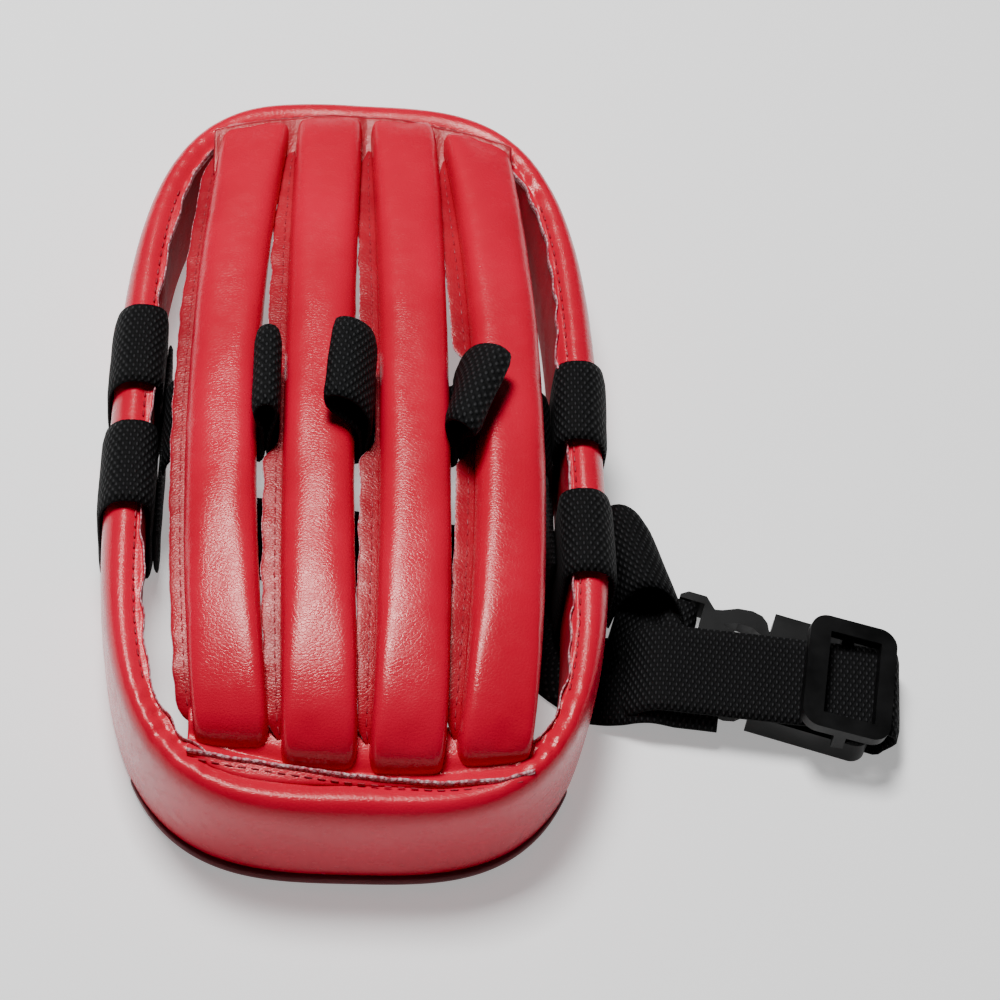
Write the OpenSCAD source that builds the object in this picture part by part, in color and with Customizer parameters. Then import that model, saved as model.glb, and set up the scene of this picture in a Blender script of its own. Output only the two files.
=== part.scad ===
/* [Headband] */
// Width of the padded headband across the outside
band_width = 130; // [120:1:140]
// Length of the padded headband, front to back
band_length = 231; // [220:1:245]
// Height of the headband wall
band_height = 36; // [34:1:40]
// Thickness of the headband wall at the middle of each side
band_wall = 10; // [9:0.5:12]
// Share by which the front is wider than the middle
band_taper = 0.034; // [0:0.002:0.05]
// Thickness of the leatherette and of the lining
skin = 1; // [0.8:0.1:1.2]
// Height of the forehead pad that shows below the front wall
pad_height = 4; // [3:0.5:5]
// How far the forehead pad stands out past the front wall
pad_lip = 1.5; // [1:0.5:3]

/* [Padded strips] */
// Width of one padded strip
strip_width = 18.5; // [17:0.5:19]
// Thickness of one padded strip
strip_thickness = 8; // [7:0.5:9]
// Spacing of the strips at their front ends
strip_pitch_front = 21.7; // [21.5:0.1:22.5]
// Spacing of the strips half way along
strip_pitch_middle = 25.4; // [25:0.1:26]
// Spacing of the strips at their back ends
strip_pitch_back = 20.8; // [20.6:0.1:21.5]
// Height of the top of the middle strips above the table
crown_height = 52.5; // [50:0.5:56]

/* [Webbing] */
// Width of the webbing
web_width = 26; // [25:0.5:27]
// Thickness of one layer of webbing
web_thickness = 1.6; // [1.4:0.1:1.8]

/* [Buckle] */
// Width of the side release buckle
buckle_width = 33; // [32.5:0.5:37]
// Thickness of the buckle
buckle_height = 8.2; // [8:0.1:9]
// Length of the tri glide along the strap
glide_length = 24; // [22:0.5:26]
// Length of the tri glide across the strap
glide_width = 34; // [33.5:0.5:38]

/* [Hidden] */

red = [0.80, 0.04, 0.16];
dark_red = [0.35, 0.03, 0.08];
foam_grey = [0.55, 0.55, 0.55];
knit_pink = [0.90, 0.72, 0.74];
web_black = [0.06, 0.06, 0.06];
plastic_black = [0.03, 0.03, 0.035];

clear = 0.3;                    // room between pieces that move or only touch
half_width = band_width / 2;
half_length = band_length / 2;
outer_power = [3.23, 3.38];     // squareness of the outside at the front and the back
inner_power = [4, 4];           // squareness of the inside
outline_steps = 96;

// ---- headband outlines -------------------------------------------------

// One point of a rounded oblong that is a little wider at the front (-Y).
function oblong(half_x, half_y, power, t) =
    let (c = cos(t), s = sin(t),
         n = s > 0 ? power[1] : power[0],
         r = pow(pow(abs(c), n) + pow(abs(s), n), -1 / n))
    [half_x * r * c * (1 - band_taper * r * s), half_y * r * s];

module outside(grow = 0) {
    polygon([for (i = [0 : outline_steps - 1])
        oblong(half_width + grow, half_length + grow, outer_power, i * 360 / outline_steps)]);
}

module inside(grow = 0) {
    inset = band_wall - grow;
    polygon([for (i = [0 : outline_steps - 1])
        oblong(half_width - inset, half_length - inset, inner_power, i * 360 / outline_steps)]);
}

// A wall between two outlines, from one height to another.
module wall(out_grow, in_grow, low, high) {
    translate([0, 0, low])
        linear_extrude(high - low)
            difference() {
                outside(out_grow);
                inside(in_grow);
            }
}

module block(low, high) {
    translate(low) cube(high - low);
}

// ---- places of the webbing ---------------------------------------------

LEFT = -1;
RIGHT = 1;
// side and front edge of each webbing loop around the headband
loops = [[LEFT, 9.5], [LEFT, -28.5], [RIGHT, -3.5], [RIGHT, -45]];
loop_reach = 90;
web_gap = 0.1;

pad_end = -86;                  // the forehead pad lies in front of this line
notch_low = -71;                // notch under the band that the chin strap passes through
notch_high = -36;

// The chin strap passes under the loop at the right front, so that loop lies a layer higher.
function loop_low(place) = place == loops[3] ? web_thickness + 2 * web_gap : 0;

// Where webbing passes under the band, and where the forehead pad lies.
module under_band() {
    for (place = loops)
        block([place[0] > 0 ? 0 : -loop_reach, place[1] - clear, -1],
              [place[0] > 0 ? loop_reach : 0, place[1] + web_width + clear,
               loop_low(place) + web_thickness + web_gap]);
    block([0, notch_low, -1], [loop_reach, notch_high, web_thickness + 2 * clear]);
    block([-loop_reach, -half_length - 10, -1], [loop_reach, pad_end, pad_height + web_gap]);
}

// ---- headband ----------------------------------------------------------

front_cut = -74;                // the cover's front part lies in front of this line
back_cut = 66;                  // and its back part behind this one

// One of the cover's four parts: the leatherette outside, top and underside.
module band_cover(low, high) {
    color(red) intersection() {
        difference() {
            wall(0, 0, 0, band_height);
            wall(-skin, -1, skin, band_height - skin);
            under_band();
        }
        block(concat(low, -1), concat(high, band_height + 1));
    }
}

module band_foam() {
    color(foam_grey) difference() {
        wall(-skin, skin, skin, band_height - skin);
        under_band();
    }
}

module band_lining() {
    color(dark_red) difference() {
        linear_extrude(band_height - skin) difference() {
            inside(skin);
            inside(0);
        }
        block([-loop_reach, -loop_reach * 2, -1], [loop_reach, loop_reach * 2, skin]);
        under_band();
    }
}

seam_rise = 2.2;

module band_seam() {
    color(knit_pink) difference() {
        translate([0, 0, band_height]) linear_extrude(seam_rise) difference() {
            inside(1.4);
            inside(0.2);
        }
        for (place = loops)
            block([place[0] > 0 ? 0 : -loop_reach, place[1] - clear, band_height - 1],
                  [place[0] > 0 ? loop_reach : 0, place[1] + web_width + clear, band_height + 9]);
        block([-47, 85, 0], [50, half_length, loop_reach]);
    }
}

yoke = 1.2;                     // thickness of the panels that the strips are sewn to
yoke_depth = 12;                // how far they reach in from the headband's wall

// Panel under the strips' ends, from the headband's wall inwards.
module yoke_panel(top, low_y, high_y) {
    color(dark_red) intersection() {
        translate([0, 0, top - yoke]) linear_extrude(yoke) inside(-0.1);
        block([-loop_reach, low_y, 0], [loop_reach, high_y, loop_reach]);
    }
}

module forehead_pad() {
    color(dark_red) intersection() {
        wall(pad_lip, 0, 0, pad_height);
        block([-loop_reach, -half_length - 10, -1], [loop_reach, pad_end - clear, pad_height + 1]);
    }
}

// ---- padded strips -----------------------------------------------------

strips = 4;
strip_shift = 1.3;              // the strips sit this far to the right of the middle
apex_y = -35;                   // where the strips are highest
front_z = 31;                   // height of the strips where they are sewn to the band
back_z = 38.6;                  // and at the back
front_power = 3;                // squareness of the arch towards the front
back_power = 1.7;               // and towards the back
dome_drop = 2.5;                // the outer strips are lower than the middle ones
lean = 5;                       // tilt of the strips, per step away from the middle
arch_rings = 22;

function offset_of(i) = i - (strips - 1) / 2;
function front_y(i) = -103.5 + 2.2 * pow(offset_of(i), 2);
function back_y(i) = 108 - 2.6 * pow(offset_of(i) + 0.12, 2);
function crown_z(i) = crown_height - dome_drop * (abs(offset_of(i)) - 0.5);

// A curve through three values at 0, 0.5 and 1.
function through(a, b, c, w) = a * (1 - w) * (1 - 2 * w) + 4 * b * w * (1 - w) + c * w * (2 * w - 1);

// Middle of a strip's top face, from t = 0 at the front end to t = 180 at the back end.
function arch(i, t) =
    let (p = t <= 90 ? front_power : back_power,
         y = t <= 90
             ? apex_y - (apex_y - front_y(i)) * pow(abs(cos(t)), 2 / p)
             : apex_y + (back_y(i) - apex_y) * pow(abs(cos(t)), 2 / p),
         end_z = t <= 90 ? front_z : back_z,
         z = end_z + (crown_z(i) - end_z) * pow(abs(sin(t)), 2 / p),
         w = (y - front_y(i)) / (back_y(i) - front_y(i)),
         pitch = through(strip_pitch_front, strip_pitch_middle, strip_pitch_back, w))
    [strip_shift + offset_of(i) * pitch, y, z];

function unit(v) = v / norm(v);

// Ring of points around the strip at t, for a section given as [across, up] pairs.
function arch_ring(i, t, section) =
    let (here = arch(i, t),
         along = unit(arch(i, min(t + 2, 180)) - arch(i, max(t - 2, 0))),
         up = unit([0, -along[2], along[1]]),
         tilt = lean * offset_of(i),
         top = up * cos(tilt) + [sin(tilt), 0, 0],
         side = unit(cross(along, top)))
    [for (q = section) here + side * q[0] + top * q[1]];

// A solid swept along strip i, with one closed section, from angle t0 to t1.
module along_strip(i, section, t0 = 0, t1 = 180, rings = arch_rings) {
    n = len(section);
    points = [for (k = [0 : rings]) each arch_ring(i, t0 + (t1 - t0) * k / rings, section)];
    sides = [for (k = [0 : rings - 1], j = [0 : n - 1])
        let (a = k * n + j, b = k * n + (j + 1) % n)
        each [[a, b + n, b], [a, a + n, b + n]]];
    caps = [[for (j = [0 : n - 1]) j], [for (j = [n - 1 : -1 : 0]) rings * n + j]];
    polyhedron(points, concat(sides, caps), convexity = 6);
}

// The leatherette folds over the foam as a channel, and its edge is sewn to a
// lining strip underneath. A flat sewn edge stands out on the left side.
edge_round = 2.2;
base = skin - strip_thickness;
sewn_edge = 1.6;

function cover_section() =
    let (x = strip_width / 2, r = edge_round, bend = edge_round - skin / 2)
    [[x - r, 0], [x, -r], [x, base], [x - skin, base], [x - skin, -r], [x - skin - bend, -skin],
     [bend + skin - x, -skin], [skin - x, -r], [skin - x, base], [-x - sewn_edge, base],
     [-x - sewn_edge, base + 1.2], [-x, base + 1.2], [-x, -r], [r - x, 0]];

function foam_section() =
    let (g = 0.15, x = strip_width / 2 - skin - g, r = edge_round, bend = edge_round - skin / 2,
         low = base + g, high = -skin - g)
    [[x - bend, high], [x, -r], [x, low], [-x, low], [-x, -r], [bend - x, high]];

function lining_section() =
    let (x = strip_width / 2)
    [[x, base], [x, -strip_thickness], [-x, -strip_thickness], [-x, base]];

module strip_cover(i) {
    color(red) along_strip(i, cover_section());
}

module strip_foam(i) {
    color(foam_grey) along_strip(i, foam_section());
}

module strip_lining(i) {
    color(dark_red) along_strip(i, lining_section());
}

// ---- webbing -----------------------------------------------------------

function normal(a, b) = let (d = unit(b - a)) [-d[1], d[0]];

// Mitre vector at point k of a line: it keeps the offset line parallel to both sides.
function mitre(line, k) =
    let (last = len(line) - 1,
         before = normal(line[max(k - 1, 0)], line[max(k, 1)]),
         after = normal(line[min(k, last - 1)], line[min(k + 1, last)]))
    (before + after) / (1 + before * after);

// A strip of constant thickness along a line of points.
module ribbon_line(line, thickness = web_thickness) {
    last = len(line) - 1;
    half = thickness / 2;
    polygon(concat([for (k = [0 : last]) line[k] + mitre(line, k) * half],
                   [for (k = [last : -1 : 0]) line[k] - mitre(line, k) * half]));
}

module rim_loop(place) {
    side = place[0];
    low = loop_low(place);
    color(web_black) intersection() {
        difference() {
            wall(web_thickness + web_gap, -web_thickness - web_gap, low, band_height + web_thickness + web_gap);
            wall(web_gap, -web_gap, low + web_thickness, band_height + web_gap);
        }
        block([side > 0 ? 0 : -loop_reach, place[1], -1],
              [side > 0 ? loop_reach : 0, place[1] + web_width, band_height + 9]);
    }
}

// The side straps hang inside the band wall, from one loop to the other.
module side_strap(side, front, back) {
    inner = -web_thickness - 2 * web_gap;
    color(web_black) intersection() {
        translate([0, 0, web_thickness + 2 * clear]) linear_extrude(20) difference() {
            inside(inner);
            inside(inner - web_thickness);
        }
        block([side > 0 ? 0 : -loop_reach, front, -1], [side > 0 ? loop_reach : 0, back, 40]);
    }
}

cross_y = 2;                    // middle of the cross strap, front to back
middle_z = 40;                  // height of the cross strap under the middle strips
outer_z = 37;                   // and under the outer strips
leg = 1.2;                      // half the distance between the two legs of a hump
hump_z = 61.5;                  // top of a slack hump of webbing

// Slack hump that comes up through the gap at x and leans over by the given amount.
function hump(x, over, low_left, low_right) =
    let (inner = over > 0 ? 0.4 * over : over)
    [[x - leg, low_left], [x - leg, 53.4], [x - leg - 1.2 + inner, hump_z - 3.5],
     [x - 1 + over * 1.1, hump_z], [x + 3 + over * 1.1, hump_z - 1],
     [x + leg + 1.8 + over * 0.7, hump_z - 5], [x + leg, 53.4], [x + leg, low_right]];

module cross_strap() {
    route = concat(
        [[-51, 25], [-50, 31], [-46, 35], [-40, outer_z]],
        hump(-24.5, 0, outer_z, middle_z),
        hump(0.6, -7, middle_z, middle_z),
        hump(25.4, 7, middle_z, outer_z),
        [[42, outer_z], [47.5, 35], [51, 31], [51.6, 25]]);
    color(web_black) translate([0, cross_y, 0]) rotate([90, 0, 0])
        linear_extrude(web_width, center = true) ribbon_line(route);
}

strap_exit = [66, -55];         // the chin strap leaves under the right wall here
strap_turn = -6;                // its direction on the table, outside the band
// its route on the table inside the band
strap_route = [[-46, -11.5], [38, -22], [60, -52]];
strap_split = 25;               // distance from the exit to where the moving part starts
strap_high = 11;                // height of the strap where it has climbed onto the buckle
climb_end = 14;                 // distance from the exit to that place
strap_rise = 1;                 // it rises from there to the fold by this angle
glide_at = 63.3;                 // distance from the exit to the tri glide's middle bar
strap_turn_at = 77.8;            // distance from the exit to the fold

module on_strap() {
    translate([strap_exit[0], strap_exit[1], 0]) rotate([0, 0, strap_turn]) children();
}

// Extrudes a side view in the strap's own direction to the webbing's width.
module strap_side_view() {
    rotate([90, 0, 0]) linear_extrude(web_width, center = true) children();
}

function strap_z(u) = strap_high + (u - climb_end) * tan(strap_rise);

module chin_strap_root() {
    low = web_thickness / 2 + 0.05;
    color(web_black) {
        translate([0, 0, 0.02]) linear_extrude(web_thickness) ribbon_line(strap_route, web_width);
        on_strap() strap_side_view()
            ribbon_line([[-8, low], [3, low], [climb_end - 2, strap_high - 1.5], [climb_end, strap_high],
                         [strap_split - clear, strap_z(strap_split)]]);
    }
}

// The strap runs to the fold, turns under the socket's end bar and up through its slot.
module chin_strap_end() {
    u = strap_split;
    last = strap_turn_at;
    under_bar = 1.2;
    slot_at = chamber_end + 5;
    color(web_black) {
        on_strap() strap_side_view()
            ribbon_line([[u, strap_z(u)], [last - 3, strap_z(last - 3)], [last, strap_z(last) - 2],
                         [last, 4], [last - 2, under_bar + 0.6]]);
        on_buckle() strap_side_view()
            ribbon_line([[socket_end + 4.5, 3], [socket_end + 2, under_bar], [slot_at + 1.5, under_bar],
                         [slot_at, 3], [slot_at, buckle_height]]);
    }
}

fold_y = -8.5;                  // back edge of the fold of the short strap

// The short strap stands up in a fold beside the band, then lies down to the plug's bar.
module buckle_strap() {
    color(web_black) {
        translate([0, fold_y, 0]) rotate([90, 0, 0]) linear_extrude(web_width)
            ribbon_line([[69.5, 1.6], [69.5, 10], [74, 15.5], [81, 14], [86.5, 9], [86, 3], [78, 1.2]]);
        on_buckle() translate([0, 0, mid_z]) strap_side_view()
            ribbon_line([[-8, -2.9], [-5, -2.4], [-2.8, 1.4], [-1.5, 3.1], [plug_bar + 0.4, 3.1],
                         [plug_bar + 2.2, 1], [plug_bar + 2.2, -3.2]]);
    }
}

// ---- buckle ------------------------------------------------------------

buckle_at = [83.8, -45.5];      // middle of the plug's free end
buckle_turn = -17;
wall_y = buckle_width / 2;
mid_z = buckle_height / 2;
plug_bar = 3.2;                 // width of the plug's webbing bar
slot_half = web_width / 2 + 0.5;
mouth = 26;                     // distance from the plug's free end to the socket's mouth
socket_end = 58;                // and to the far end of the socket
collar = 4;                     // length of the narrow mouth of the socket
collar_half = 12.4;             // half its inside width
chamber_half = 14.4;            // half the inside width behind it
chamber_end = 45;
chamber_z = 2.6;                // half the inside height
slot_start = 46.8;              // the socket's webbing slot
slot_end = 53.2;
end_bar = 4;                    // thickness of the bar beyond the slot
arm_pivot = [9.5, 11.9];        // where each latch arm bends
arm_z = 2.1;                    // half the thickness of a latch arm

module on_buckle() {
    translate([buckle_at[0], buckle_at[1], 0]) rotate([0, 0, buckle_turn]) children();
}

module slab(low, high) {
    translate([0, 0, mid_z + low]) linear_extrude(high - low) children();
}

// Plug: webbing bar, tapered shoulder and the middle tongue.
module buckle_plug() {
    color(plastic_black) on_buckle() {
        difference() {
            slab(-mid_z + 0.4, mid_z - 0.4) difference() {
                polygon([[0, -wall_y + 2], [2, -wall_y + 0.5], [7, -wall_y + 0.5], [14, -8.2], [17, -7.5],
                         [17, 7.5], [14, 8.2], [7, wall_y - 0.5], [2, wall_y - 0.5], [0, wall_y - 2]]);
                translate([plug_bar, -slot_half]) square([3.8, 2 * slot_half]);
            }
            for (z = [-mid_z, end_bar / 2])
                slab(z, z + mid_z - end_bar / 2)
                    translate([-1, -slot_half]) square([plug_bar + 2, 2 * slot_half]);
            for (s = [-1, 1])
                slab(-arm_z - clear, arm_z + clear)
                    translate([arm_pivot[0], s * arm_pivot[1]]) {
                        circle(r = 2.3, $fn = 40);
                        translate([0, s > 0 ? -3 : -8]) square([12, 11]);
                    }
        }
        slab(-1.8, 1.8) translate([15, -2.2]) square([chamber_end - 17, 4.4]);
    }
}

// One latch arm: it bows out to the finger pad, then runs in to the barbed tip.
module latch_arm_shape() {
    translate(arm_pivot) circle(r = 2, $fn = 40);
    polygon([[9, 10], [12.5, 9.7], [17, 11.6], [21, 11.4], [25, 9.2], [34, 8.4], [43, 9.2], [43.6, 10.4],
             [42.2, 13], [40.4, 13.6], [37, 12.7], [33.5, 12], [30, 11.8], [25.6, 11.8], [24.6, 14.2],
             [22.8, 15.9], [20, 16.6], [16, 16.1], [12, 14.2], [10, 13.7]]);
}

module latch_arm(s) {
    color(plastic_black) on_buckle()
        slab(-arm_z, arm_z) mirror([0, s > 0 ? 0 : 1]) latch_arm_shape();
}

// Socket: closed case with a narrow mouth, open webbing slot and end bar.
module buckle_socket() {
    corner = 4;
    color(plastic_black) on_buckle() difference() {
        slab(-mid_z, mid_z) union() {
            translate([mouth, -wall_y]) square([socket_end - mouth - corner, buckle_width]);
            for (s = [-1, 1])
                translate([socket_end - corner, s * (wall_y - corner)]) circle(r = corner, $fn = 48);
            translate([mouth, corner - wall_y])
                square([socket_end - mouth, buckle_width - 2 * corner]);
        }
        slab(-chamber_z, chamber_z) {
            translate([mouth - 1, -collar_half]) square([collar + 2, 2 * collar_half]);
            translate([mouth + collar, -chamber_half])
                square([chamber_end - mouth - collar, 2 * chamber_half]);
        }
        slab(-mid_z - 1, mid_z + 1)
            translate([slot_start, -slot_half]) square([slot_end - slot_start, 2 * slot_half]);
        for (z = [-mid_z - 1, end_bar / 2])
            slab(z, z + mid_z + 1 - end_bar / 2)
                translate([slot_end - 1, -slot_half]) square([socket_end, 2 * slot_half]);
    }
}

// ---- tri glide ---------------------------------------------------------

glide_bar_in = 5.6;             // width of the frame's bar on the headband's side
glide_bar_out = 4.4;            // and of the other one
glide_opening = 12.4;           // half the frame's opening across the strap
glide_thick = 3;
glide_turn = -4;                // the glide sits a little askew on the strap
glide_tip = 9;                  // and tips down towards the fold
glide_lift = 1.7;               // so its frame stands this much higher
post = 3.2;                     // length of the middle bar along the strap

// Rounded frame above the strap, with its middle bar below the strap.
module tri_glide() {
    corner = 5;
    half_l = glide_length / 2;
    half_w = glide_width / 2;
    over = web_thickness / 2 + clear;
    side = half_w - 0.2;
    color(plastic_black) on_strap() translate([glide_at, 0, strap_z(glide_at)])
        rotate([0, -strap_rise, glide_turn]) {
            rotate([0, glide_tip, 0]) translate([0, 0, over + glide_lift])
                linear_extrude(glide_thick) difference() {
                    union() {
                        for (a = [-1, 1], b = [-1, 1])
                            translate([a * (half_l - corner), b * (half_w - corner)])
                                circle(r = corner, $fn = 48);
                        square([glide_length, glide_width - 2 * corner], center = true);
                        square([glide_length - 2 * corner, glide_width], center = true);
                    }
                    translate([glide_bar_in - half_l, -glide_opening])
                        square([glide_length - glide_bar_in - glide_bar_out, 2 * glide_opening]);
                }
            for (y = [-side, slot_half])
                translate([-post / 2, y, -over - 2]) cube([post, side - slot_half, 2 * over + 4]);
            translate([-post / 2, -side, -over - 2]) cube([post, 2 * side, 2]);
        }
}

// ---- the whole head guard ----------------------------------------------

band_cover([-loop_reach, -2 * loop_reach], [loop_reach, front_cut]);  // band_cover_front
band_cover([-loop_reach, back_cut], [loop_reach, 2 * loop_reach]);  // band_cover_back
band_cover([-loop_reach, front_cut], [0, back_cut]);  // band_cover_left
band_cover([0, front_cut], [loop_reach, back_cut]);  // band_cover_right
band_foam();
band_lining();
band_seam();
forehead_pad();
yoke_panel(front_z - 0.1, -half_length, band_wall + yoke_depth - half_length);  // front_yoke
yoke_panel(front_z - 0.1, half_length - band_wall - yoke_depth, half_length);  // back_yoke
for (i = [0 : strips - 1]) {
    strip_cover(i);
    strip_foam(i);
    strip_lining(i);
}
cross_strap();
rim_loop(loops[0]);  // loop_left_rear
rim_loop(loops[1]);  // loop_left_front
rim_loop(loops[2]);  // loop_right_rear
rim_loop(loops[3]);  // loop_right_front
side_strap(LEFT, -27, 34);  // side_strap_left
side_strap(RIGHT, -33, 21);  // side_strap_right
chin_strap_root();
buckle_strap();
buckle_plug();
latch_arm(1);  // latch_arm_rear
latch_arm(-1);  // latch_arm_front
buckle_socket();
chin_strap_end();
tri_glide();
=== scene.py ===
# Open head guard: padded headband and crown strips, webbing, side release buckle and tri glide.
import bmesh
import bpy
import math
from mathutils import Matrix, Vector, noise


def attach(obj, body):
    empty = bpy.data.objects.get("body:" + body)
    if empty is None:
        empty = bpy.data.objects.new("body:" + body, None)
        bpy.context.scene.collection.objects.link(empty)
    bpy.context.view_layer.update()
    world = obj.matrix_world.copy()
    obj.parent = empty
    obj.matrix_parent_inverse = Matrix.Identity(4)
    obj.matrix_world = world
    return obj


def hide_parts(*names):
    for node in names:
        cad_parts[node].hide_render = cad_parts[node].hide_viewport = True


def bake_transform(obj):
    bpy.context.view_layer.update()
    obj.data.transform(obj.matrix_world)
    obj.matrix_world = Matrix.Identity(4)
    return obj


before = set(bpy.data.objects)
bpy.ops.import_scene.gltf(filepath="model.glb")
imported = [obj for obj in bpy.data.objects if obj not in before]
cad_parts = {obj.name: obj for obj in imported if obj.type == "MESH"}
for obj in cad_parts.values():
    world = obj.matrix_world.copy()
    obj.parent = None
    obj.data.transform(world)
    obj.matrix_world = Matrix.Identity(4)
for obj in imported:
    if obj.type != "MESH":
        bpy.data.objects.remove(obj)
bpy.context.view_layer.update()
MM = 0.001                      # lengths below are in millimetres until a mesh is made
UP = Vector((0, 0, 1))

# ---- materials ---------------------------------------------------------


class Nodes:
    """A material's node tree, with short calls for the nodes used here."""

    def __init__(self, name):
        self.material = bpy.data.materials.new(name)
        self.material.use_nodes = True
        self.tree = self.material.node_tree
        self.shader = self.tree.nodes["Principled BSDF"]

    def add(self, kind, **settings):
        node = self.tree.nodes.new("ShaderNode" + kind)
        for key, value in settings.items():
            setattr(node, key, value)
        return node

    def put(self, socket, value):
        if isinstance(value, bpy.types.NodeSocket):
            self.tree.links.new(value, socket)
        else:
            socket.default_value = value

    def math(self, operation, a, b=0.0):
        node = self.add("Math", operation=operation)
        self.put(node.inputs[0], a)
        self.put(node.inputs[1], b)
        return node.outputs[0]

    def coordinates(self, kind, stretch=(1, 1, 1)):
        scaled = self.add("Mapping")
        self.put(scaled.inputs["Vector"], self.add("TexCoord").outputs[kind])
        scaled.inputs["Scale"].default_value = stretch
        return scaled.outputs[0]

    def noise(self, vector, scale, detail=3.0):
        node = self.add("TexNoise")
        self.put(node.inputs["Vector"], vector)
        node.inputs["Scale"].default_value = scale
        node.inputs["Detail"].default_value = detail
        return node.outputs["Fac"]

    def cells(self, vector, scale, feature="F1"):
        node = self.add("TexVoronoi", feature=feature)
        self.put(node.inputs["Vector"], vector)
        node.inputs["Scale"].default_value = scale
        return node.outputs["Distance"]

    def ramp(self, value, *stops):
        node = self.add("ValToRGB")
        for element, stop in zip(self._elements(node, len(stops)), stops):
            element.position, element.color = stop[0], (*stop[1], 1)
        self.put(node.inputs[0], value)
        return node.outputs[0]

    @staticmethod
    def _elements(node, count):
        elements = node.color_ramp.elements
        while len(elements) < count:
            elements.new(0.5)
        return list(elements)

    def span(self, value, low, high, out_low, out_high):
        node = self.add("MapRange")
        self.put(node.inputs["Value"], value)
        for key, number in zip(("From Min", "From Max", "To Min", "To Max"),
                               (low, high, out_low, out_high)):
            node.inputs[key].default_value = number
        return node.outputs[0]

    def bump(self, height, strength, distance):
        node = self.add("Bump")
        self.put(node.inputs["Height"], height)
        node.inputs["Strength"].default_value = strength
        node.inputs["Distance"].default_value = distance
        return node.outputs[0]

    def set(self, **sockets):
        for key, value in sockets.items():
            self.put(self.shader.inputs[key.replace("_", " ")], value)
        return self.material


def leatherette(name, dark, mid, light, roughness, grain):
    """Coated leatherette: a wrinkled grain just under a millimetre across, with reddish highlights."""
    n = Nodes(name)
    where = n.coordinates("Object", (0.72, 1.0, 1.0))
    creases = n.span(n.cells(where, 1250, "DISTANCE_TO_EDGE"), 0.0, 0.22, 0.0, 1.0)
    fine = n.noise(where, 2000, 4)
    broad = n.noise(where, 160, 3)
    height = n.math("ADD", n.math("MULTIPLY", creases, 0.5), n.math("MULTIPLY", fine, 0.5))
    height = n.math("ADD", height, n.math("MULTIPLY", broad, 0.8))
    tone = n.noise(n.coordinates("Object"), 26, 4)
    colour = n.ramp(tone, (0.32, dark), (0.5, mid), (0.72, light))
    rough = n.span(n.noise(where, 300, 3), 0.3, 0.7, roughness - 0.05, roughness + 0.07)
    return n.set(Base_Color=colour, Roughness=rough, Normal=n.bump(height, grain, 0.00008),
                 Specular_IOR_Level=0.46, Specular_Tint=(1.0, 0.50, 0.46, 1.0),
                 Coat_Weight=0.05, Coat_Roughness=0.30)


RED = leatherette("red_leatherette", (0.51, 0.001, 0.023), (0.57, 0.001, 0.027),
                  (0.63, 0.0015, 0.033), 0.24, 0.55)
# A darker copy of the red leatherette for the sewn edges between the strips and for the back panel: its
# darkness is painted shade.
RED_PAINTED_SHADE = leatherette("red_leatherette_painted_shade", (0.24, 0.001, 0.010), (0.32, 0.001, 0.014),
                       (0.42, 0.003, 0.020), 0.32, 0.8)
# A much darker copy of the red leatherette for the lip under the front wall: its darkness is painted shade.
LIP_RED_PAINTED_SHADE = leatherette("lip_leatherette_painted_shade", (0.085, 0.002, 0.008), (0.11, 0.003, 0.011),
                     (0.14, 0.004, 0.014), 0.46, 0.5)


def lining_fabric():
    """Matt coated lining with a fine knit, with painted shade darkening the hollows of its folds."""
    n = Nodes("dark_red_lining")
    where = n.coordinates("Object")
    folds = n.noise(where, 90, 3)
    height = n.math("ADD", n.math("MULTIPLY", n.cells(where, 1400), 0.5), folds)
    # Colour darker where the folds are low: painted shade in their hollows.
    colour = n.ramp(folds, (0.3, (0.30, 0.002, 0.014)), (0.7, (0.42, 0.003, 0.020)))
    return n.set(Base_Color=colour, Roughness=n.span(folds, 0.3, 0.7, 0.52, 0.66),
                 Normal=n.bump(height, 0.5, 0.0004), Specular_IOR_Level=0.06)


def knit_edge():
    """Raw cut edge of the backing: pale knit loops with some red showing between them."""
    n = Nodes("pale_knit_edge")
    where = n.coordinates("Object")
    loops = n.cells(where, 1100)
    colour = n.ramp(loops, (0.15, (0.80, 0.55, 0.57)), (0.5, (0.60, 0.25, 0.29)), (0.8, (0.45, 0.04, 0.07)))
    height = n.math("ADD", loops, n.noise(where, 1800, 2))
    return n.set(Base_Color=colour, Roughness=n.span(loops, 0, 1, 0.72, 0.9),
                 Normal=n.bump(height, 0.8, 0.0005), Specular_IOR_Level=0.2)


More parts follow.
